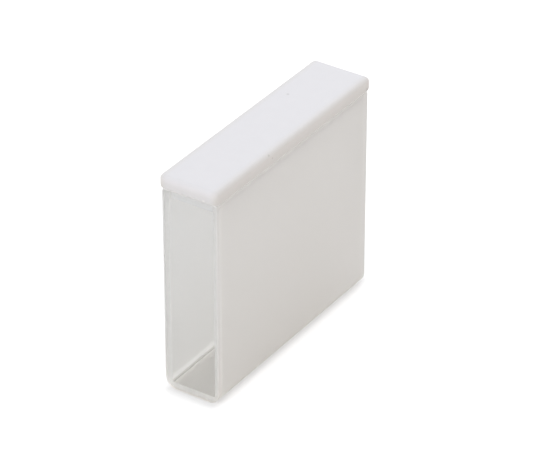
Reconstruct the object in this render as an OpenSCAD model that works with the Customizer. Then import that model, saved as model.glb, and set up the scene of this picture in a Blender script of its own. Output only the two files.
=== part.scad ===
// Glass cuvette of 50 mm light path, standing upright, with its lid seated on the rim.
// X runs along the light path, Y across the cell, Z up from the foot.
// The origin is in the middle of the foot. All sizes are in millimetres.

/* [Chamber] */
// Light path, from one window's inner face to the other's
path_length = 50; // [10:1:100]
// Clear width between the side walls
inner_width = 10; // [6:0.5:20]
// Small radius left along the floor's inner corners
inner_fillet = 0.3; // [0.1:0.05:0.8]

/* [Glass] */
// Height of the glass, from the foot to the rim
glass_height = 45; // [25:1:80]
// Thickness of each ground side wall
side_wall = 1.25; // [1:0.05:2.5]
// Thickness of the floor
floor_thickness = 1.25; // [1:0.05:3]
// Thickness of each polished end window
window_thickness = 1.25; // [1:0.05:2.5]
// Radius of the rounded outer edges along the foot
foot_radius = 2.5; // [1:0.1:3]
// Radius of the softened outer edges along the rim
rim_radius = 0.6; // [0.1:0.05:0.8]
// Flat ground on the outer edges of each window's face
edge_flat = 0.2; // [0.1:0.05:0.4]

/* [Lid] */
// Thickness of the lid's plate, above the rim
plate_thickness = 3; // [2.4:0.1:6]
// How far the plate stands out past the glass, all round
plate_overhang = 0.4; // [0.3:0.05:2]
// Radius of the plate's upright corners, seen from above
plate_corner = 1; // [1:0.1:3]
// Radius of the plate's soft upper edges
plate_top_round = 0.9; // [0.4:0.05:0.95]
// Radius of the plate's lower edges
plate_low_round = 0.7; // [0.2:0.05:0.8]
// Depth of the plug that hangs in the mouth
plug_depth = 2.2; // [1.2:0.1:6]
// Gap between the plug and the glass, on each side
plug_gap = 0.1; // [0.05:0.05:0.3]
// Radius of the plug's upright corners
plug_corner = 0.6; // [0.3:0.1:1.5]
// Lead-in slope round the plug's lower edge
plug_lead = 0.35; // [0.1:0.05:0.6]

/* [Hidden] */

$fn = 64;

// Overall sizes of the glass
glass_width = inner_width + 2 * side_wall;
glass_length = path_length + 2 * window_thickness;

// Overall sizes of the lid
plate_length = glass_length + 2 * plate_overhang;
plate_width = glass_width + 2 * plate_overhang;
plug_length = path_length - 2 * plug_gap;
plug_width = inner_width - 2 * plug_gap;

// How far a cutting shape runs past what it cuts
past = 1;

ground_glass = [0.83, 0.83, 0.81, 0.85];
clear_glass = [0.80, 0.84, 0.84, 0.45];
white_ptfe = [0.93, 0.93, 0.95];

// ---- Outlines ----

// Rectangle standing on the X axis, its lower corners and upper corners rounded.
// One strip is as wide as the radii allow at each level, with a disc in each corner.
module rounded_upright(width, height, low_radius, top_radius) {
    half = width / 2;
    translate([-half, low_radius])
        square([width, height - low_radius - top_radius]);
    translate([-half + low_radius, 0])
        square([width - 2 * low_radius, height / 2]);
    translate([-half + top_radius, height / 2])
        square([width - 2 * top_radius, height / 2]);
    for (side = [-1, 1]) {
        translate([side * (half - low_radius), low_radius])
            circle(r = low_radius);
        translate([side * (half - top_radius), height - top_radius])
            circle(r = top_radius);
    }
}

// End view of the glass
module glass_outline() {
    rounded_upright(glass_width, glass_height, foot_radius, rim_radius);
}

// End view of the chamber, open at the rim
module chamber_outline() {
    translate([-inner_width / 2, floor_thickness + inner_fillet])
        square([inner_width, glass_height + past - floor_thickness - inner_fillet]);
    translate([-inner_width / 2 + inner_fillet, floor_thickness])
        square([inner_width - 2 * inner_fillet, 2 * inner_fillet]);
    for (side = [-1, 1])
        translate([side * (inner_width / 2 - inner_fillet), floor_thickness + inner_fillet])
            circle(r = inner_fillet);
}

// Section across the lid's plate: soft radii below and above
module plate_section(width) {
    rounded_upright(width, plate_thickness, plate_low_round, plate_top_round);
}

// Section across the plug, hanging below the plate, with its lead-in slopes
module plug_section(width) {
    top = plate_thickness / 2;
    polygon([
        [-width / 2, top],
        [-width / 2, plug_lead - plug_depth],
        [-width / 2 + plug_lead, -plug_depth],
        [width / 2 - plug_lead, -plug_depth],
        [width / 2, plug_lead - plug_depth],
        [width / 2, top]
    ]);
}

// Rectangle about the origin with its four corners rounded
module rounded_rectangle(length, width, radius) {
    square([length - 2 * radius, width], center = true);
    square([length, width - 2 * radius], center = true);
    for (sx = [-1, 1], sy = [-1, 1])
        translate([sx * (length / 2 - radius), sy * (width / 2 - radius)])
            circle(r = radius);
}

// ---- Placing ----

// Stands a flat outline up and runs it along X, centred
module run_along_x(length) {
    translate([-length / 2, 0, 0])
        rotate([90, 0, 90])
            linear_extrude(height = length)
                children();
}

// Stands a flat outline up and runs it along Y, centred
module run_along_y(length) {
    translate([0, length / 2, 0])
        rotate([90, 0, 0])
            linear_extrude(height = length)
                children();
}

// Bar along X with its diagonals upright and level, which grinds a flat on an edge
module edge_cutter(length) {
    rotate([45, 0, 0])
        cube([length + 2 * past, edge_flat * sqrt(2), edge_flat * sqrt(2)], center = true);
}

// ---- Pieces ----

// Channel of ground glass: two side walls and the floor in one
module body() {
    color(ground_glass)
        difference() {
            run_along_x(path_length) glass_outline();
            run_along_x(path_length + 2 * past) chamber_outline();
        }
}

// Polished plate with the outline of the glass, its outer face towards -X.
// That face's upright edges and its rim edge carry the narrow flat.
module window_plate() {
    outer = -glass_length / 2;
    color(clear_glass)
        difference() {
            translate([outer + window_thickness / 2, 0, 0])
                run_along_x(window_thickness) glass_outline();
            for (side = [-1, 1])
                translate([outer, side * glass_width / 2, glass_height / 2])
                    rotate([0, 90, 0])
                        edge_cutter(glass_height);
            translate([outer, 0, glass_height])
                rotate([0, 0, 90])
                    edge_cutter(glass_width);
        }
}

module front_window() {
    window_plate();
}

module back_window() {
    mirror([1, 0, 0]) window_plate();
}

// Plate of the lid: its section run both ways, and turned round each upright corner
module lid_plate() {
    corner_x = plate_length / 2 - plate_corner;
    corner_y = plate_width / 2 - plate_corner;
    run_along_x(2 * corner_x) plate_section(plate_width);
    run_along_y(2 * corner_y) plate_section(plate_length);
    for (sx = [-1, 1], sy = [-1, 1])
        translate([sx * corner_x, sy * corner_y, 0])
            rotate_extrude()
                intersection() {
                    plate_section(2 * plate_corner);
                    square([plate_corner, plate_thickness]);
                }
}

// Plug of the lid, which drops into the mouth of the chamber
module lid_plug() {
    intersection() {
        run_along_x(plug_length) plug_section(plug_width);
        run_along_y(plug_width) plug_section(plug_length);
        translate([0, 0, -plug_depth])
            linear_extrude(height = plug_depth + plate_thickness / 2)
                rounded_rectangle(plug_length, plug_width, plug_corner);
    }
}

// Lid, resting on the rim with its plug in the mouth
module lid() {
    color(white_ptfe)
        translate([0, 0, glass_height]) {
            lid_plate();
            lid_plug();
        }
}

body();
front_window();
back_window();
lid();
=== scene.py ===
"""Builds the visible pieces of a glass cuvette with its lid, standing on a pale floor."""

import math

import bmesh
import bpy
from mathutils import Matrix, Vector


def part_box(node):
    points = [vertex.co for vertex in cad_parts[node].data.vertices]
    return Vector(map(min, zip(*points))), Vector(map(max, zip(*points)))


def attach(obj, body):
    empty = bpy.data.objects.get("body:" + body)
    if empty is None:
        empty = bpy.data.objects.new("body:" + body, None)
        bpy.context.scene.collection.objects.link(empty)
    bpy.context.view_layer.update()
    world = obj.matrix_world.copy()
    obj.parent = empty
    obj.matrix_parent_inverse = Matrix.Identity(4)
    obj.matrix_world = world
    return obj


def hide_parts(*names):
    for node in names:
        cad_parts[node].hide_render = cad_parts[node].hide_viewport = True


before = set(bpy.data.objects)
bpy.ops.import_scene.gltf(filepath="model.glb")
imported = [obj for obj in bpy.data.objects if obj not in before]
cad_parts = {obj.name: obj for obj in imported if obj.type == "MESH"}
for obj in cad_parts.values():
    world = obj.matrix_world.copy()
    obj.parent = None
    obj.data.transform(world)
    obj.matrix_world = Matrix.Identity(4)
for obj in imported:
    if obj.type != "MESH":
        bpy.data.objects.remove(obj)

bl_info = {
    "name": "Cuvette",
    "version": (1, 0, 0),
    "blender": (4, 5, 0),
    "location": "View3D > Sidebar > Cuvette",
    "description": "Builds a fused glass cuvette, its lid and a pale studio stage",
    "category": "Add Mesh",
}

MM = 0.001
X, Z = 0, 2  # axes by number
WHITE, BLACK = (1, 1, 1), (0, 0, 0)

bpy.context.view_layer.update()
CHANNEL_LOW, CHANNEL_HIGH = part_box("body")
FRONT_LOW, FRONT_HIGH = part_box("front_window")
BACK_LOW, BACK_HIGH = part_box("back_window")
LID_LOW, LID_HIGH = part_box("lid")
RIM = CHANNEL_HIGH.z


# ---- Measures of the shaping, in metres ----

TOUCH = 5e-3 * MM  # closer than this counts as the same place
MERGE = 1e-7  # corners closer than this become one
KERF = 1e-8  # corners closer than this to a cut lie in it
SLIVER = 1e-6  # edges shorter than this are closed up
OUTSIDE = 0.1 * MM  # an outer edge lies further out than this from the walls' inner faces
END = 0.3 * MM  # an edge nearer than this to the foot or the rim belongs to it
STRAIGHT = 1 - 1e-4  # share of an edge's length that lies along its axis
FACING = 0.99  # share of a normal that lies along the axis it faces
SMOOTH_BELOW = math.radians(35)  # edges sharper than this stay crisp
LEVEL_BELOW = math.radians(1)  # faces that meet at less than this are one
HOLLOW = 0.0858  # bevel profile that comes nearest to a hollow quarter circle
HOLLOW_SHARE = 0.999  # share of its room that this bevel takes
CHORD = 0.9  # past this square of its distance, in radii squared, a face is off the fillet

# Flat faces across each round.
FOOT_STEPS, RIM_STEPS, FILLET_STEPS = 14, 5, 4
CORNER_STEPS, TOP_STEPS, LOW_STEPS, LEAD_STEPS = 6, 8, 4, 2


# ---- Where the tones change, in millimetres, each from where to where ----

SEAM_EDGE = (0.1, 0.3)  # away from the fused seam, where it ends on the ground side
SEAM_HOLD = 0.8  # share of the spread light that the seam holds back
FACE_FOOT = (-9, 45)  # up the ground sides, where the painted shade at the foot ends
EDGE_FOOT = (-4, 24)  # up the windows' edges, where it ends there
FOOT_RUN = (4, 26)  # along X, where that painted shade lets up
FOOT_RELIEF = 0.7  # share of it that is gone by then
FAR_RUN = (-12, 30)  # along X, where the painted shade towards +X sets in
FAR_RISE = (2, 20)  # up the sides, where it sets in
CREST = (43.3, 44.3)  # up the sides, where the painted shade under the lid at the rim sets in
CREST_GLOW = (44.2, 44.7)  # up the sides, where the spread light falls off
FOOT_TOP = (1.6, 2.6)  # up the foot, where its glow ends
FOOT_SIDE = (-5.4, -4.6)  # along Y, where it starts
SOLE_TOP = (0.2, 1.4)  # up the foot, where the sole's glow ends
WALL_FACE = (4.8, 4.95)  # out along Y, to take the walls' inner faces and not the floor
WALL_FOOT = (6, 32)  # up the walls' inner faces, where their painted shade ends
BOND_STEP = 0.05  # to either side of the level below which the bond gets its painted shade
SEAM_TOP = (34, 43)  # up the seam, where light stops coming through it
PLATE = (45.1, 45.6)  # up the lid, where the plate's painted shades set in
SKIRT_TOP = (45.3, 47.3)  # up the plate, where the painted shade along its lower edge ends
CROWN = (47.88, 48.0)  # up the plate, where the painted shade of its top face sets in
FLANK = (4.6, 6.6)  # out along Y, where the painted shade of the long sides sets in
FLANK_FOOT = (45.6, 46.4)  # up the plate, where it is no longer stronger
FLANK_MORE = 0.5  # by how much it is stronger below
BROW_END = (-26.5, -26.0)  # along X, where the painted shade of the end towards -X ends
BROW_TOP = (46.4, 47.4)  # up the plate, where it ends
LEE = (26.0, 26.4)  # along X, where the painted shade of the end towards +X sets in
PLUG_TOP = (0.02, 0.22)  # above the rim, where the plug's lighter tone, painted light, ends
SPOT_CORE = 0.5  # share of a spot's radius that has its full tone
SPECKS = (  # place and radius of each dark speck on the lid
    ((11.8, 3.05, 48.0), 0.38),
    ((-9.15, -6.5, 47.75), 0.34),
    ((-8.2, -6.65, 46.7), 0.28),
    ((25.2, -6.6, 45.7), 0.5),
)
NICK = ((-26.65, -3.55, 45.5), 0.31)  # place and radius of the pale nick

# Shares without a unit.
HAZE = (0.45, 0.75)  # noise values between which the haze sets in
HAZE_DULLNESS = 0.04  # roughness that full haze adds
GRAIN_SPREAD = 0.15  # how far the roughness of the ground glass varies with its grain
FLECK_SPREAD = 0.1  # how far the share that a seam hides varies with its flecks
LID_ROUGHNESS, LID_SPREAD = 0.42, 0.2  # roughness of the lid, and how far it varies


# ---- Measures of the stage ----

FOOTPRINT = (26.2, 4.9)  # half length and half width of what touches the floor, in millimetres, where the floor's painted shadow is darkest
TARGET = Vector((0.783, -0.12, 24.937)) * MM  # what the camera looks at
SENSOR = 36  # width of the camera's frame, in millimetres
CLIP = (0.01, 20)  # nearest and furthest that the camera sees, in metres
BOUNCES = 24  # of light, because it passes many faces of glass

# Outputs by number.
OBJECT_PLACE = 3  # of Texture Coordinate
CAMERA_RAY, GLOSSY_RAY, TRANSMISSION_RAY = 0, 3, 6  # of Light Path
BACKFACING = 6  # of Geometry


# ---- Sizes and colours a user would change ----


def length(name, description, default):
    """A property that holds a length in metres."""
    return bpy.props.FloatProperty(
        name=name, description=description, default=default, min=0, precision=5, unit="LENGTH"
    )


def angle(name, description, degrees):
    """A property that holds an angle, whose default is given in degrees."""
    return bpy.props.FloatProperty(
        name=name, description=description, default=math.radians(degrees), subtype="ANGLE"
    )


def share(name, description, default):
    """A property that holds a share between 0 and 1."""
    return bpy.props.FloatProperty(
        name=name, description=description, default=default, min=0, max=1, subtype="FACTOR"
    )


def amount(name, description, default, unit="NONE"):
    """A property that holds a plain number."""
    return bpy.props.FloatProperty(
        name=name, description=description, default=default, min=0, unit=unit
    )


def colour(name, description, default):
    """A property that holds a colour."""
    return bpy.props.FloatVectorProperty(
        name=name, description=description, default=default, min=0, max=1, size=3, subtype="COLOR"
    )


class CuvetteGlass(bpy.types.PropertyGroup):
    """Sizes, finish and painted shades of the glass."""

    inner_width: length("Inner width", "Clear width between the side walls", 10 * MM)
    floor_thickness: length("Floor thickness", "Thickness of the chamber's floor", 1.25 * MM)
    inner_fillet: length("Inner fillet", "Radius along the floor's inner corners", 0.3 * MM)
    foot_radius: length("Foot radius", "Radius of the outer edges along the foot", 2.5 * MM)
    rim_radius: length("Rim radius", "Radius of the outer edges along the rim", 0.6 * MM)
    rim_flat: length("Rim flat", "Flat on the inner edges of the rim", 0.08 * MM)
    edge_flat: length("Edge flat", "Flat round the outer face of each window", 0.2 * MM)
    plate_gap: length("Plate gap", "Hairline between the floor and each side wall", 0.002 * MM)
    seam_gap: length("Seam gap", "Hairline between the channel and each window", 0.001 * MM)
    seam_flat: length("Seam flat", "Flat on each side of the fused seam", 0.02 * MM)
    ground_light: colour("Ground light", "Lighter tone of the ground glass", (0.996, 0.99, 0.978))
    ground_dark: colour("Ground dark", "Darker tone of the ground glass", (0.986, 0.98, 0.968))
    # painted shade: ground glass darkened low down, more the lower it is
    ground_foot_painted_shade: colour("Ground foot", "Shade of ground glass at the foot", (0.955, 0.95, 0.94))
    # painted shade: ground glass darkened at the rim, in the shade under the lid
    ground_rim_painted_shade: colour("Ground rim", "Shade of ground glass at the rim", (0.965, 0.966, 0.968))
    # painted shade: ground glass darkened towards +X, where the light falls off
    ground_far_painted_shade: colour("Ground far", "Shade of ground glass towards +X", (0.975, 0.974, 0.972))
    # painted shade: the windows' edges darkened low down in the same way
    edge_foot_painted_shade: colour("Edge foot", "Shade of the windows' edges at the foot", (0.98, 0.963, 0.948))
    ground_glow: share("Ground glow", "Share of light that goes through spread all ways", 0.28)
    edge_glow: share("Edge glow", "The same share on the edges of the windows", 0.4)
    foot_glow: share("Foot glow", "The same share on the foot", 0.58)
    sole_glow: share("Sole glow", "The same share right above the floor", 0.9)
    rim_glow: share("Rim glow", "What is left of that share at the rim", 0.5)
    ground_clarity: share("Ground clarity", "Share of the rest that passes straight through", 0.16)
    ground_roughness: share("Ground roughness", "Roughness of the ground glass", 0.5)
    seam_light: colour("Seam light", "Lighter tone of a fused seam", (0.955, 0.948, 0.922))
    seam_dark: colour("Seam dark", "Darker tone of a fused seam", (0.935, 0.928, 0.902))
    seam_white: share("Seam white", "How much the fused seam of a window hides", 0.95)
    seam_glow: share("Seam glow", "Share of the seam's light that comes through it", 0.12)
    bond_white: share("Bond white", "How much the bond between floor and wall hides", 1.0)
    bond_glow: share("Bond glow", "Share of the bond's light that comes through it", 0.5)
    # painted shade: the bond darkened below the floor's face, drawing the dark line of shade at
    # the floor's inner corners
    bond_painted_shade: colour("Bond shade", "Shade of that bond", (0.56, 0.555, 0.54))
    bond_depth: length("Bond depth", "How far below the floor's face the shade starts", 0.42 * MM)
    satin: share("Satin", "Roughness of the inner faces of the walls and floor", 0.2)
    # painted shade: the walls' inner faces darkened low down, where less light reaches
    satin_foot_painted_shade: colour("Satin foot", "Shade of the walls' inside low down", (0.975, 0.973, 0.965))
    polished_tint: colour("Polished tint", "Tint of the polished glass", (1.0, 0.998, 0.99))
    haze_tint: colour("Haze tint", "Tint of the polished glass in its haze", (0.996, 0.994, 0.986))
    index: amount("Index", "Refractive index of the glass", 1.47)


class CuvetteLid(bpy.types.PropertyGroup):
    """Sizes, finish, painted light and painted shades of the lid."""

    corner: length("Corner", "Radius of the plate's upright corners", 1.0 * MM)
    top_round: length("Top round", "Radius of the plate's upper edges", 0.9 * MM)
    low_round: length("Low round", "Radius of the plate's lower edges", 0.7 * MM)
    plug_gap: length("Plug gap", "Gap between the plug and the glass", 0.1 * MM)
    plug_corner: length("Plug corner", "Radius of the plug's upright corners", 0.6 * MM)
    plug_lead: length("Plug lead", "Slope round the plug's lower edge", 0.35 * MM)
    light: colour("Light tone", "Lighter tone of the lid", (0.842, 0.837, 0.858))
    dark: colour("Dark tone", "Darker tone of the lid", (0.806, 0.801, 0.822))
    # painted light: the plug is the plate's polymer, toned far lighter to stand in for light in
    # its shade under the plate
    plug: colour("Plug tone", "Tone of the plug", (0.99, 0.985, 0.98))
    # painted shade: the top face dimmed below its rounded edges, which show lighter as light falls
    crown_painted_shade: colour("Crown", "Shade of the top of the lid", (0.974, 0.974, 0.974))
    # painted shade: the plate darkened along its lower edge
    skirt_painted_shade: colour("Skirt", "Shade of the lower edge of the lid", (0.935, 0.936, 0.935))
    # painted shade: the plate darkened on its long sides, most low down
    flank_painted_shade: colour("Flank", "Shade of the long sides of the lid", (0.95, 0.937, 0.9))
    # painted shade: the plate's end towards -X darkened below its top
    brow_painted_shade: colour("Brow", "Shade of the lid's end towards -X", (0.965, 0.966, 0.955))
    # painted shade: the plate's end towards +X darkened, away from the light
    lee_painted_shade: colour("Lee", "Shade of the lid's end towards +X", (0.92, 0.92, 0.92))
    speck: colour("Speck", "Shade of the lid in its specks", (0.86, 0.86, 0.85))
    nick: colour("Nick", "Tone of the nick on the lid's lower edge", (0.89, 0.885, 0.87))


class CuvetteStage(bpy.types.PropertyGroup):
    """Floor with its painted shadow, light and camera."""

    floor_size: length("Floor size", "Side of the square floor", 6)
    floor_drop: length("Floor drop", "Gap between the floor and the foot", 0.05 * MM)
    floor_colour: colour("Floor colour", "Colour of the floor", (0.65, 0.65, 0.65))
    floor_lift: share("Floor lift", "White added to the floor that the eye sees", 0.56)
    # painted shadow: to the eye only, the floor darkened right beside the foot
    painted_contact_shadow: share("Contact shade", "How dark the floor is right beside the foot", 0.23)
    painted_shadow_reach: length("Contact reach", "How far that shade reaches", 2.5 * MM)
    through_colour: colour("Through colour", "Floor's colour seen in glass", (0.93, 0.93, 0.93))
    through_lift: share("Through lift", "White added to the floor seen in glass", 0.175)
    floor_glow: colour("Floor glow", "Colour of the light from the floor", (0.95, 0.91, 0.87))
    sky: amount("Sky", "Strength of the light from all round", 0.66)
    sky_tint: colour("Sky tint", "Tint of the light from all round", (1.0, 0.966, 0.93))
    key: amount("Key", "Strength of each key light on a face turned to it", 0.35)
    key_tint: colour("Key tint", "Tint of the key lights", (0.84, 0.90, 1.0))
    key_turn: angle("Key turn", "Turn of the key lights to either side of -Y", 100)
    key_height: angle("Key height", "Height of the key lights above the horizon", 43)
    key_distance: length("Key distance", "From the key lights to the object", 1.5)
    key_size: length("Key size", "Side of each square key light", 1.5)
    azimuth: angle("Azimuth", "Turn of the camera round the object, from -Y to -X", 56.369)
    elevation: angle("Elevation", "Height of the camera above the horizon", 31.993)
    distance: length("Distance", "From the camera to its target", 0.6486)
    lens: amount("Lens", "Focal length of the camera in millimetres", 222.13, "CAMERA")


# ---- Shaping ----


def at(value, place):
    """Whether two places are the same."""
    return abs(value - place) < TOUCH


def mid(part):
    """Middle of a face's or edge's corners."""
    return sum((corner.co for corner in part.verts), Vector()) / len(part.verts)


def along(edge, axis):
    """Whether the edge runs along that axis."""
    run = edge.verts[1].co - edge.verts[0].co
    return abs(run[axis]) > STRAIGHT * run.length


def upright(edge):
    """Whether the edge stands upright."""
    return along(edge, Z)


def lies_at(axis, place):
    """A test for faces or edges that lie wholly at that place along the axis."""
    return lambda part: all(at(corner.co[axis], place) for corner in part.verts)


def runs_at(y, z):
    """A test for edges that run along X at that height and that far to either side."""
    return lambda edge: along(edge, X) and at(abs(mid(edge).y), y) and at(mid(edge).z, z)


def block(name, low, high):
    """Adds a block between two corners, open for shaping."""
    bpy.ops.object.select_all(action="DESELECT")
    bpy.ops.mesh.primitive_cube_add(size=1, location=(low + high) / 2)
    piece = bpy.context.object
    piece.name = piece.data.name = name
    piece.scale = high - low
    bpy.ops.object.transform_apply(location=True, rotation=True, scale=True)
    bpy.ops.object.mode_set(mode="EDIT")
    bpy.ops.mesh.select_all(action="DESELECT")
    return piece


def pick(piece, kind, wanted):
    """Selects the faces or edges that pass the test, and nothing else."""
    bpy.ops.mesh.select_mode(type=kind)
    bpy.ops.mesh.select_all(action="DESELECT")
    mesh = bmesh.from_edit_mesh(piece.data)
    parts = mesh.edges if kind == "EDGE" else mesh.faces
    found = [part for part in parts if wanted(part)]
    if not found:
        raise RuntimeError(f"{piece.name}: nothing to shape there")
    for part in found:
        part.select_set(True)
    mesh.select_flush_mode()
    bmesh.update_edit_mesh(piece.data)


def soften(piece, radius, wanted, steps=1):
    """Rounds the edges that pass the test. One step makes a flat."""
    pick(piece, "EDGE", wanted)
    bpy.ops.mesh.bevel(
        offset=radius, offset_type="OFFSET", segments=steps, profile=0.5,
        affect="EDGES", clamp_overlap=True, miter_outer="SHARP",
    )


def cut(piece, place, normal, wanted):
    """Cuts the faces that pass the test along a plane."""
    pick(piece, "FACE", wanted)
    bpy.ops.mesh.bisect(plane_co=place, plane_no=normal, threshold=KERF)


def slice_off(piece, place, normal):
    """Cuts off all beyond a plane, on the side its normal points to, and closes the cut."""
    bpy.ops.mesh.select_mode(type="FACE")
    bpy.ops.mesh.select_all(action="SELECT")
    bpy.ops.mesh.bisect(
        plane_co=place, plane_no=normal, threshold=KERF, use_fill=True, clear_outer=True
    )


def close_up(piece):
    """Ends the shaping: faces outwards, flats kept flat and rounds smooth."""
    bpy.ops.mesh.select_all(action="SELECT")
    bpy.ops.mesh.remove_doubles(threshold=MERGE)
    bpy.ops.mesh.normals_make_consistent(inside=False)
    bpy.ops.object.mode_set(mode="OBJECT")
    bpy.ops.object.shade_smooth_by_angle(angle=SMOOTH_BELOW)
    weighted = piece.modifiers.new("Even", "WEIGHTED_NORMAL")
    weighted.keep_sharp = True
    bpy.ops.object.modifier_apply(modifier=weighted.name)


def finish_faces(piece, finishes, choose):
    """Gives every face the finish whose name choose returns for its middle and normal."""
    names = list(finishes)
    for name in names:
        piece.data.materials.append(finishes[name])
    for face in piece.data.polygons:
        face.material_index = names.index(choose(face.center, face.normal))


# ---- Nodes ----


class Wire:
    """A value or colour in a node tree. Sums written with it add Math nodes."""

    def __init__(self, nodes, socket):
        self.nodes = nodes
        self.socket = socket

    def _math(self, operation, *values):
        return self.nodes.node("ShaderNodeMath", {"operation": operation}, *values)[0]

    def __add__(self, other):
        return self._math("ADD", self, other)

    def __sub__(self, other):
        return self._math("SUBTRACT", self, other)

    def __rsub__(self, other):
        return self._math("SUBTRACT", other, self)

    def __mul__(self, other):
        return self._math("MULTIPLY", self, other)

    def __abs__(self):
        return self._math("ABSOLUTE", self)

    __radd__ = __add__
    __rmul__ = __mul__


def rgba(tone):
    """A colour as its socket takes it. A wire stays as it is."""
    return tone if isinstance(tone, Wire) else (*tone, 1)


def around(middle, noise, spread):
    """A value that follows the noise to either side of its middle."""
    return middle + (noise - 0.5) * spread


class Nodes:
    """A node tree that is filled by calls."""

    def __init__(self, owner):
        owner.use_nodes = True
        self.tree = owner.node_tree
        self.tree.nodes.clear()

    def node(self, kind, settings=None, *values, **named):
        """Adds a node: its settings, then its sockets by order or name. Returns its outputs."""
        made = self.tree.nodes.new(kind)
        for name, value in (settings or {}).items():
            setattr(made, name, value)
        sockets = [socket for socket in made.inputs if socket.enabled]
        pairs = list(zip(sockets, values))
        for name, value in named.items():
            label = name.replace("_", " ")
            pairs.append((next(s for s in sockets if s.name.lower() == label), value))
        for socket, value in pairs:
            if isinstance(value, Wire):
                self.tree.links.new(value.socket, socket)
            else:
                socket.default_value = value
        return [Wire(self, socket) for socket in made.outputs if socket.enabled]

    def place(self):
        """Place on the piece, in millimetres."""
        found = self.node("ShaderNodeTexCoord")[OBJECT_PLACE]
        return self.node("ShaderNodeVectorMath", {"operation": "SCALE"}, found, scale=1 / MM)[0]

    def split(self, where):
        """The three parts of a place."""
        return self.node("ShaderNodeSeparateXYZ", None, where)

    def noise(self, where, scale, detail, roughness):
        """Noise of so many waves to the millimetre."""
        return self.node(
            "ShaderNodeTexNoise", None, where, scale=scale, detail=detail, roughness=roughness
        )[0]

    def most(self, first, second):
        """The larger of two values."""
        return self.node("ShaderNodeMath", {"operation": "MAXIMUM"}, first, second)[0]

    def band(self, value, low, high):
        """0 below low and 1 above high, smooth in between."""
        settings = {"interpolation_type": "SMOOTHSTEP"}
        return self.node("ShaderNodeMapRange", settings, value, low, high, 0.0, 1.0)[0]

    def spot(self, where, centre, radius):
        """1 in a small round spot, 0 outside."""
        gap = self.node("ShaderNodeVectorMath", {"operation": "DISTANCE"}, where, centre)[0]
        return 1 - self.band(gap, radius * SPOT_CORE, radius)

    def blend(self, mask, first, second):
        """The first colour where the mask is 0, the second where it is 1."""
        settings = {"data_type": "RGBA"}
        return self.node("ShaderNodeMix", settings, mask, rgba(first), rgba(second))[0]

    def shade(self, tone, mask, first, second):
        """A tone multiplied by the first shade where the mask is 0, the second where it is 1."""
        shade = self.blend(mask, first, second)
        settings = {"data_type": "RGBA", "blend_type": "MULTIPLY"}
        return self.node("ShaderNodeMix", settings, 1.0, tone, shade)[0]

    def bump(self, height, strength, depth):
        """Normal of a surface that is raised by a height, its depth in millimetres."""
        return self.node(
            "ShaderNodeBump", None, strength=strength, distance=depth * MM, height=height
        )[0]

    def either(self, mask, first, second):
        """The first shader where the mask is 0, the second where it is 1."""
        return self.node("ShaderNodeMixShader", None, mask, first, second)[0]

    def clear(self):
        """A shader that lets light pass as if nothing were there."""
        return self.node("ShaderNodeBsdfTransparent")[0]

    def out(self, shader):
        """Ends a material's tree."""
        self.node("ShaderNodeOutputMaterial", None, shader)


# ---- Materials ----


def new_material(name):
    """A new material and its empty node tree."""
    made = bpy.data.materials.new(name)
    return made, Nodes(made)


def finish(make, name, *values):
    """The material of that name, made when it is first asked for."""
    return bpy.data.materials.get(name) or make(name, *values)


def ground_glass(name, glass, glow_share, foot_painted_shade, foot_fade):
    """Finely ground glass: part scattered back, part let through, with grain, cloudy tone and
    painted shade at the foot, towards +X and at the rim.
    """
    made, nodes = new_material(name)
    where = nodes.place()
    grain = nodes.noise(where, scale=6.0, detail=3.0, roughness=0.6)
    cloud = nodes.noise(where, scale=0.22, detail=3.0, roughness=0.55)
    x, y, z = nodes.split(where)
    seam = 1 - nodes.band(abs(abs(x) - CHANNEL_HIGH.x / MM), *SEAM_EDGE)

    tone = nodes.blend(cloud, glass.ground_dark, glass.ground_light)
    # painted shade: darker the lower it is, letting up along +X
    rise = nodes.band(z, *foot_fade)
    rise = rise + (1 - rise) * nodes.band(x, *FOOT_RUN) * FOOT_RELIEF
    tone = nodes.shade(tone, rise, foot_painted_shade, WHITE)
    # painted shade: darker towards +X, above the foot
    far_painted_shade_mask = nodes.band(x, *FAR_RUN) * nodes.band(z, *FAR_RISE)
    tone = nodes.shade(tone, far_painted_shade_mask, WHITE, glass.ground_far_painted_shade)
    # painted shade: darker under the lid at the rim
    tone = nodes.shade(tone, nodes.band(z, *CREST), WHITE, glass.ground_rim_painted_shade)

    roughness = around(glass.ground_roughness, grain, GRAIN_SPREAD)
    bump = nodes.bump(grain, strength=0.35, depth=0.02)
    face = nodes.node(
        "ShaderNodeBsdfPrincipled", None,
        base_color=tone, roughness=roughness, ior=glass.index,
        transmission_weight=glass.ground_clarity, normal=bump,
    )[0]
    glow = nodes.node("ShaderNodeBsdfTranslucent", None, tone, bump)[0]

    foot = (1 - nodes.band(z, *FOOT_TOP)) * nodes.band(y, *FOOT_SIDE)
    sole = 1 - nodes.band(z, *SOLE_TOP)
    through = (1 - seam * SEAM_HOLD) * glow_share + foot * (glass.foot_glow - glow_share)
    through = through + sole * (glass.sole_glow - glass.foot_glow)
    through = through * (1 - nodes.band(z, *CREST_GLOW) * (1 - glass.rim_glow))
    nodes.out(nodes.either(through, face, glow))
    return made


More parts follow.
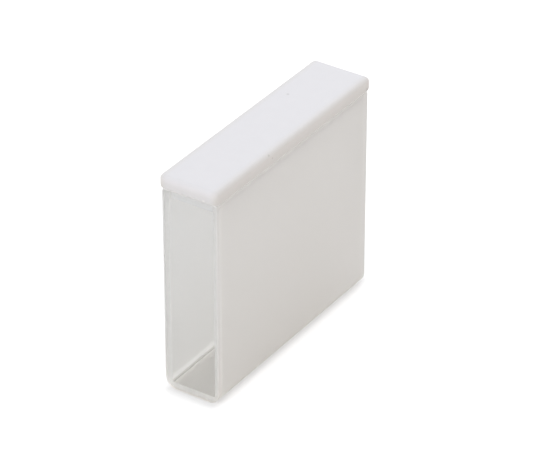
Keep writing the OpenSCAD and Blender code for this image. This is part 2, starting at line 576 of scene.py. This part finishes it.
def polished_glass(name, glass, dullness, foot_painted_shade):
    """Clear glass with the faintest haze, its dullness from 0 on a polished face upwards, and
    painted shade low on the walls' inner faces where a shade is given.
    """
    made, nodes = new_material(name)
    where = nodes.place()
    haze = nodes.band(nodes.noise(where, scale=0.35, detail=4.0, roughness=0.6), *HAZE)
    tint = nodes.blend(haze, glass.polished_tint, glass.haze_tint)
    _, y, z = nodes.split(where)
    # painted shade: the walls' inner faces darker low down
    low_wall = nodes.band(abs(y), *WALL_FACE) * (1 - nodes.band(z, *WALL_FOOT))
    tint = nodes.shade(tint, low_wall, WHITE, foot_painted_shade)
    shader = nodes.node(
        "ShaderNodeBsdfPrincipled", None,
        base_color=tint, roughness=haze * HAZE_DULLNESS + dullness, ior=glass.index,
        transmission_weight=1.0,
    )[0]
    nodes.out(shader)
    return made


def fused_joint(name):
    """Fused faces inside the glass, where light passes as if there were no joint."""
    made, nodes = new_material(name)
    nodes.out(nodes.clear())
    return made


def fused_seam(name, glass, white_share, glow_share, low_painted_shade, level):
    """Whitish seam between two fused plates, with clearer flecks, and painted shade below a level.
    """
    made, nodes = new_material(name)
    where = nodes.place()
    flecks = nodes.noise(where, scale=1.2, detail=3.0, roughness=0.6)
    tone = nodes.blend(flecks, glass.seam_dark, glass.seam_light)
    z = nodes.split(where)[Z]
    # painted shade: darker below the level
    above = nodes.band(z, level / MM - BOND_STEP, level / MM + BOND_STEP)
    tone = nodes.shade(tone, above, low_painted_shade, WHITE)
    front = nodes.node("ShaderNodeBsdfDiffuse", None, tone)[0]
    back = nodes.node("ShaderNodeBsdfTranslucent", None, tone)[0]
    through = glow_share * (1 - nodes.band(z, *SEAM_TOP))
    white = nodes.either(through, front, back)
    clear = nodes.clear()
    nodes.out(nodes.either(around(white_share, flecks, FLECK_SPREAD), clear, white))
    return made


def soft_polymer(name, lid):
    """Soft white polymer with a waxy face and faint mottling, painted shade on its top, lower
    edge, long sides and ends, and painted light on the plug.
    """
    made, nodes = new_material(name)
    where = nodes.place()
    mottle = nodes.noise(where, scale=0.35, detail=4.0, roughness=0.55)
    grain = nodes.noise(where, scale=3.0, detail=3.0, roughness=0.6)
    tone = nodes.blend(mottle, lid.dark, lid.light)
    x, y, z = nodes.split(where)
    plate = nodes.band(z, *PLATE)
    # painted shade: the plate darker along its lower edge
    skirt_painted_shade = plate * (1 - nodes.band(z, *SKIRT_TOP))
    tone = nodes.shade(tone, skirt_painted_shade, WHITE, lid.skirt_painted_shade)
    # painted shade: the top face dimmed
    tone = nodes.shade(tone, nodes.band(z, *CROWN), WHITE, lid.crown_painted_shade)
    # painted shade: the long sides darker, most low down
    flank_painted_shade = nodes.band(abs(y), *FLANK) * plate
    flank_painted_shade = flank_painted_shade * ((1 + FLANK_MORE) - nodes.band(z, *FLANK_FOOT) * FLANK_MORE)
    tone = nodes.shade(tone, flank_painted_shade, WHITE, lid.flank_painted_shade)
    # painted shade: the end towards -X darker below its top
    brow_painted_shade = (1 - nodes.band(x, *BROW_END)) * (1 - nodes.band(z, *BROW_TOP)) * plate
    tone = nodes.shade(tone, brow_painted_shade, WHITE, lid.brow_painted_shade)
    # painted shade: the end towards +X darker
    tone = nodes.shade(tone, nodes.band(x, *LEE), WHITE, lid.lee_painted_shade)
    for speck in SPECKS:
        tone = nodes.shade(tone, nodes.spot(where, *speck), WHITE, lid.speck)
    tone = nodes.blend(nodes.spot(where, *NICK), tone, lid.nick)
    # painted light: the plug and the plate's lowest edge take a far lighter tone than the plate
    plug_low, plug_high = (RIM / MM + height for height in PLUG_TOP)
    tone = nodes.blend(nodes.band(z, plug_low, plug_high), lid.plug, tone)

    roughness = around(LID_ROUGHNESS, mottle, LID_SPREAD)
    bump = nodes.bump(grain * 0.4 + mottle, strength=0.25, depth=0.03)
    shader = nodes.node(
        "ShaderNodeBsdfPrincipled", None,
        base_color=tone, roughness=roughness, ior=1.38, normal=bump, specular_ior_level=0.25,
        subsurface_weight=0.2, subsurface_scale=0.7 * MM, subsurface_radius=(1, 1, 1),
    )[0]
    nodes.out(shader)
    return made


def glass_finishes(glass):
    """Every finish of the glass, painted shades included, by its short name."""
    bond_level = glass.floor_thickness - glass.bond_depth
    return {
        "ground": finish(
            ground_glass, "ground_face", glass, glass.ground_glow, glass.ground_foot_painted_shade, FACE_FOOT
        ),
        "edge": finish(
            ground_glass, "ground_edge", glass, glass.edge_glow, glass.edge_foot_painted_shade, EDGE_FOOT
        ),
        "polished": finish(polished_glass, "polished_face", glass, 0.0, WHITE),
        "satin": finish(polished_glass, "satin_face", glass, glass.satin, glass.satin_foot_painted_shade),
        "joint": finish(fused_joint, "fused_joint"),
        "seam": finish(
            fused_seam, "fused_seam", glass, glass.seam_white, glass.seam_glow, WHITE, 0
        ),
        "bond": finish(
            fused_seam, "floor_bond", glass, glass.bond_white, glass.bond_glow,
            glass.bond_painted_shade, bond_level,
        ),
    }


# ---- Pieces ----


def end_outline(glass):
    """A test for the outer edges of a piece's two ends."""

    def wanted(edge):
        place = mid(edge)
        outside = abs(place.y) > glass.inner_width / 2 + OUTSIDE or place.z < END
        return at(abs(place.x), CHANNEL_HIGH.x) and outside and place.z < RIM - END

    return wanted


def side_wall(name, side, glass):
    """Side wall on that side of the chamber, with its share of the rounded foot."""
    low, high = CHANNEL_LOW, CHANNEL_HIGH
    inner = glass.inner_width / 2
    start = high.y - 2 * glass.foot_radius
    sides = sorted((side * start, side * high.y))
    piece = block(name, Vector((low.x, sides[0], low.z)), Vector((high.x, sides[1], high.z)))
    soften(piece, glass.foot_radius, runs_at(high.y, low.z), FOOT_STEPS)
    soften(piece, glass.rim_radius, runs_at(high.y, high.z), RIM_STEPS)
    slice_off(piece, (0, side * inner, 0), (0, -side, 0))
    soften(piece, glass.rim_flat, runs_at(inner, high.z))
    soften(piece, glass.seam_flat, end_outline(glass))
    level = low.z + glass.floor_thickness + glass.inner_fillet
    cut(piece, (0, 0, level), (0, 0, 1), lambda face: at(abs(mid(face).y), inner))
    close_up(piece)

    def choose(place, _):
        if at(abs(place.x), high.x):
            return "joint"
        if at(abs(place.y), inner):
            return "satin" if place.z > level else "joint"
        return "ground"

    finish_faces(piece, glass_finishes(glass), choose)
    return piece


def floor_plate(name, glass):
    """Floor between the side walls, a small fillet rising to each of them."""
    low, high = CHANNEL_LOW, CHANNEL_HIGH
    inner = glass.inner_width / 2 - glass.plate_gap
    fillet, level = glass.inner_fillet, low.z + glass.floor_thickness
    piece = block(name, low, Vector((high.x, high.y, low.z + 2 * glass.foot_radius)))
    soften(piece, glass.foot_radius, runs_at(high.y, low.z), FOOT_STEPS)
    slice_off(piece, (0, 0, level), (0, 0, 1))
    for side in (-1, 1):
        slice_off(piece, (0, side * inner, 0), (0, side, 0))

    def on_top(face):
        return face.normal.z > FACING

    for side in (-1, 1):
        cut(piece, (0, side * (inner - fillet), 0), (0, 1, 0), on_top)
    pick(piece, "FACE", lambda face: on_top(face) and abs(mid(face).y) > inner - fillet)
    bpy.ops.mesh.extrude_region_move(TRANSFORM_OT_translate={"value": (0, 0, fillet)})
    bpy.ops.mesh.select_all(action="SELECT")
    bpy.ops.mesh.dissolve_limited(angle_limit=LEVEL_BELOW)
    pick(piece, "EDGE", runs_at(inner - fillet, level + fillet))
    bpy.ops.mesh.bevel(
        offset=fillet * HOLLOW_SHARE, offset_type="OFFSET", segments=FILLET_STEPS,
        profile=HOLLOW, affect="EDGES",
    )
    bpy.ops.mesh.select_all(action="SELECT")
    bpy.ops.mesh.dissolve_degenerate(threshold=SLIVER)
    soften(piece, glass.seam_flat, end_outline(glass))
    close_up(piece)

    def choose(place, normal):
        if at(abs(place.x), high.x):
            return "joint"
        if abs(normal.y) > FACING:
            return "bond"
        return "ground" if normal.z < 0 else "satin"

    finish_faces(piece, glass_finishes(glass), choose)
    return piece


class CUVETTE_OT_channel(bpy.types.Operator):
    """Builds the channel of ground glass: two side walls with the floor between them"""

    bl_idname = "cuvette.channel"
    bl_label = "Glass channel"

    def execute(self, context):
        glass = context.scene.cuvette_glass
        pieces = (
            side_wall("ground_wall_near", -1, glass),
            side_wall("ground_wall_far", 1, glass),
            floor_plate("ground_floor", glass),
        )
        for piece in pieces:
            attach(piece, "root")
            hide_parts("body")
        return {"FINISHED"}


def window(name, low, high, outward, glass):
    """Polished plate whose outer face looks along X, outward being -1 or 1."""
    low, high = low.copy(), high.copy()
    if outward < 0:
        high.x -= glass.seam_gap
    else:
        low.x += glass.seam_gap
    outer_x, inner_x = (high.x, low.x) if outward > 0 else (low.x, high.x)
    inner, floor, fillet = glass.inner_width / 2, glass.floor_thickness, glass.inner_fillet
    inside = lies_at(X, inner_x)

    def opening(face):
        return inside(face) and abs(mid(face).y) < inner - TOUCH and mid(face).z > floor

    def fillet_point(side, step):
        turn = math.radians(90) * step / FILLET_STEPS
        return Vector((
            inner_x,
            side * (inner - fillet + fillet * math.sin(turn)),
            floor + fillet - fillet * math.cos(turn),
        ))

    piece = block(name, low, high)
    soften(piece, glass.foot_radius, runs_at(high.y, low.z), FOOT_STEPS)
    soften(piece, glass.rim_radius, runs_at(high.y, high.z), RIM_STEPS)
    soften(piece, glass.edge_flat, lies_at(X, outer_x))
    soften(piece, glass.seam_flat, inside)
    for side in (-inner, inner):
        cut(piece, (0, side, 0), (0, 1, 0), inside)
    cut(piece, (0, 0, floor), (0, 0, 1), opening)
    for side in (-1, 1):
        for step in range(FILLET_STEPS):
            start = fillet_point(side, step)
            chord = fillet_point(side, step + 1) - start
            cut(piece, start, Vector((0, -chord.z, chord.y)), opening)
    close_up(piece)

    def choose(place, normal):
        if at(place.x, inner_x) and abs(normal.x) > FACING:
            out, down = abs(place.y) - (inner - fillet), (floor + fillet) - place.z
            beyond = out**2 + down**2 > fillet**2 * CHORD
            in_corner = out > 0 and down > 0 and beyond
            within = abs(place.y) < inner and place.z > floor and not in_corner
            return "polished" if within else "seam"
        if at(place.x, outer_x):
            return "polished"
        return "edge"

    finish_faces(piece, glass_finishes(glass), choose)
    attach(piece, "root")
    return piece


class CUVETTE_OT_windows(bpy.types.Operator):
    """Builds the two polished windows fused to the ends of the channel"""

    bl_idname = "cuvette.windows"
    bl_label = "Polished windows"

    def execute(self, context):
        glass = context.scene.cuvette_glass
        front = window("polished_window_front", FRONT_LOW, FRONT_HIGH, -1, glass)
        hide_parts("front_window")
        back = window("polished_window_back", BACK_LOW, BACK_HIGH, 1, glass)
        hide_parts("back_window")
        return {"FINISHED"}


def open_at_rim(piece):
    """Takes out the face at the rim's height and ends the shaping for now."""
    pick(piece, "FACE", lies_at(Z, RIM))
    bpy.ops.mesh.delete(type="ONLY_FACE")
    bpy.ops.object.mode_set(mode="OBJECT")


def lid_plug(name, lid, glass):
    """Plug that hangs in the mouth of the glass, open above."""
    inner = glass.inner_width / 2
    high = Vector((CHANNEL_HIGH.x - lid.plug_gap, inner - lid.plug_gap, RIM))
    low = Vector((-high.x, -high.y, LID_LOW.z))
    plug = block(name, low, high)
    soften(plug, lid.plug_corner, upright, CORNER_STEPS)
    soften(plug, lid.plug_lead, lies_at(Z, low.z), LEAD_STEPS)
    open_at_rim(plug)
    return plug


def lid_plate(name, lid):
    """Plate of the lid with its rounded edges, open below."""
    plate = block(name, Vector((LID_LOW.x, LID_LOW.y, RIM)), LID_HIGH)
    soften(plate, lid.corner, upright, CORNER_STEPS)
    soften(plate, lid.top_round, lies_at(Z, LID_HIGH.z), TOP_STEPS)
    soften(plate, lid.low_round, lies_at(Z, RIM), LOW_STEPS)
    open_at_rim(plate)
    return plate


class CUVETTE_OT_lid(bpy.types.Operator):
    """Builds the soft white lid with its plug"""

    bl_idname = "cuvette.lid"
    bl_label = "Lid"

    def execute(self, context):
        lid = context.scene.cuvette_lid
        plug = lid_plug("lid_plug", lid, context.scene.cuvette_glass)
        piece = lid_plate("lid_cap", lid)
        bpy.ops.object.select_all(action="DESELECT")
        plug.select_set(True)
        piece.select_set(True)
        bpy.context.view_layer.objects.active = piece
        bpy.ops.object.join()
        bpy.ops.object.mode_set(mode="EDIT")
        pick(piece, "EDGE", lambda edge: edge.is_boundary)
        bpy.ops.mesh.bridge_edge_loops()
        close_up(piece)
        piece.data.materials.append(finish(soft_polymer, "soft_polymer", lid))
        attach(piece, "root")
        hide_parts("lid")
        return {"FINISHED"}


# ---- Stage ----


def toward(azimuth, elevation):
    """Direction from the object to a place round it. Azimuth 0 is towards -Y, -90 towards -X."""
    return Vector((
        math.sin(azimuth) * math.cos(elevation),
        -math.cos(azimuth) * math.cos(elevation),
        math.sin(elevation),
    ))


def facing_back(direction):
    """Turn of a lamp or camera that stands in that direction and looks back."""
    return direction.to_track_quat("Z", "Y").to_euler()


def pale_paper(name, stage):
    """Floor that shows pale to the eye and in glass, with a faint painted shadow beside the foot.
    """
    made, nodes = new_material(name)
    rays = nodes.node("ShaderNodeLightPath")
    seen = rays[CAMERA_RAY]
    through = nodes.most(rays[GLOSSY_RAY], rays[TRANSMISSION_RAY])
    tone = nodes.blend(through, stage.floor_glow, stage.through_colour)
    tone = nodes.blend(seen, tone, stage.floor_colour)
    x, y, _ = nodes.split(nodes.place())
    # painted shadow: to the eye only, darker right beside the footprint
    half_length, half_width = FOOTPRINT
    beside = nodes.most(abs(x) - half_length, 0.0)
    ahead = nodes.most(abs(y) - half_width, 0.0)
    squares = beside * beside + ahead * ahead
    gap = nodes.node("ShaderNodeMath", {"operation": "SQRT"}, squares)[0]
    painted_shadow = (1 - nodes.band(gap, 0.0, stage.painted_shadow_reach / MM)) * seen * stage.painted_contact_shadow
    tone = nodes.blend(painted_shadow, tone, BLACK)
    lift = seen * stage.floor_lift * (1 - painted_shadow) + through * stage.through_lift
    paper = nodes.node(
        "ShaderNodeBsdfPrincipled", None,
        base_color=tone, roughness=0.9, specular_ior_level=0.0,
        emission_color=nodes.blend(lift, BLACK, WHITE), emission_strength=1.0,
    )[0]
    clear = nodes.clear()
    below = nodes.node("ShaderNodeNewGeometry")[BACKFACING]
    nodes.out(nodes.either(below, paper, clear))
    return made


def add_floor(stage):
    """Adds the square floor."""
    bpy.ops.object.select_all(action="DESELECT")
    bpy.ops.mesh.primitive_plane_add(size=stage.floor_size, location=(0, 0, -stage.floor_drop))
    floor = bpy.context.object
    floor.name = floor.data.name = "floor"
    bpy.ops.object.transform_apply(location=True, rotation=True, scale=True)
    floor.data.materials.append(finish(pale_paper, "pale_floor", stage))


def add_sky(scene, stage):
    """Adds soft light from all round, and a white background."""
    scene.world = bpy.data.worlds.new("studio")
    nodes = Nodes(scene.world)
    rays = nodes.node("ShaderNodeLightPath")
    seen = nodes.most(rays[CAMERA_RAY], rays[GLOSSY_RAY])
    seen = nodes.most(seen, rays[TRANSMISSION_RAY])
    strength = stage.sky + seen * (1 - stage.sky)
    tint = nodes.blend(seen, stage.sky_tint, WHITE)
    light = nodes.node("ShaderNodeBackground", None, tint, strength)[0]
    nodes.node("ShaderNodeOutputWorld", None, light)


def add_key(name, turn, stage):
    """Adds a square light, turned round the object from -Y."""
    direction = toward(turn, stage.key_height)
    place = direction * stage.key_distance
    bpy.ops.object.light_add(type="AREA", location=place, rotation=facing_back(direction))
    key = bpy.context.object
    key.name = key.data.name = name
    key.data.size = stage.key_size
    key.data.energy = stage.key * math.pi**2 * stage.key_distance**2
    key.data.color = stage.key_tint


def add_camera(scene, stage):
    """Adds the camera and looks through it."""
    direction = toward(-stage.azimuth, stage.elevation)
    place = TARGET + direction * stage.distance
    bpy.ops.object.camera_add(location=place, rotation=facing_back(direction))
    camera = bpy.context.object
    camera.name = camera.data.name = "camera"
    camera.data.sensor_width = SENSOR
    camera.data.lens = stage.lens
    camera.data.clip_start, camera.data.clip_end = CLIP
    scene.camera = camera


class CUVETTE_OT_stage(bpy.types.Operator):
    """Sets up the floor, the light and the camera"""

    bl_idname = "cuvette.stage"
    bl_label = "Stage"

    def execute(self, context):
        scene = context.scene
        stage = scene.cuvette_stage
        add_floor(stage)
        add_sky(scene, stage)
        add_key("key_left", -stage.key_turn, stage)
        add_key("key_right", stage.key_turn, stage)
        add_camera(scene, stage)
        scene.view_settings.view_transform = "Standard"
        scene.cycles.max_bounces = BOUNCES
        scene.cycles.diffuse_bounces = BOUNCES
        scene.cycles.glossy_bounces = BOUNCES
        scene.cycles.transmission_bounces = BOUNCES
        scene.cycles.transparent_max_bounces = BOUNCES
        return {"FINISHED"}


# ---- Panel ----


class CUVETTE_PT_maker(bpy.types.Panel):
    """Lists the steps that build the cuvette, and its sizes and colours"""

    bl_idname = "CUVETTE_PT_maker"
    bl_label = "Cuvette"
    bl_space_type = "VIEW_3D"
    bl_region_type = "UI"
    bl_category = "Cuvette"

    def draw(self, context):
        layout = self.layout
        for step in STEPS:
            layout.operator(step.bl_idname)
        for title, (group_name, group) in SETTINGS.items():
            layout.label(text=title)
            for name in group.__annotations__:
                layout.prop(getattr(context.scene, group_name), name)


STEPS = (CUVETTE_OT_channel, CUVETTE_OT_windows, CUVETTE_OT_lid, CUVETTE_OT_stage)
SETTINGS = {
    "Glass": ("cuvette_glass", CuvetteGlass),
    "Lid": ("cuvette_lid", CuvetteLid),
    "Stage": ("cuvette_stage", CuvetteStage),
}
CLASSES = (*(group for _, group in SETTINGS.values()), *STEPS, CUVETTE_PT_maker)


def register():
    """Adds the classes, and the settings of each scene."""
    for made in CLASSES:
        bpy.utils.register_class(made)
    for name, group in SETTINGS.values():
        setattr(bpy.types.Scene, name, bpy.props.PointerProperty(type=group))


def unregister():
    """Takes away what register adds."""
    for name, _ in SETTINGS.values():
        delattr(bpy.types.Scene, name)
    for made in reversed(CLASSES):
        bpy.utils.unregister_class(made)


def main():
    """Builds everything in order."""
    register()
    bpy.ops.cuvette.channel()
    bpy.ops.cuvette.windows()
    bpy.ops.cuvette.lid()
    bpy.ops.cuvette.stage()


if __name__ == "__main__":
    main()
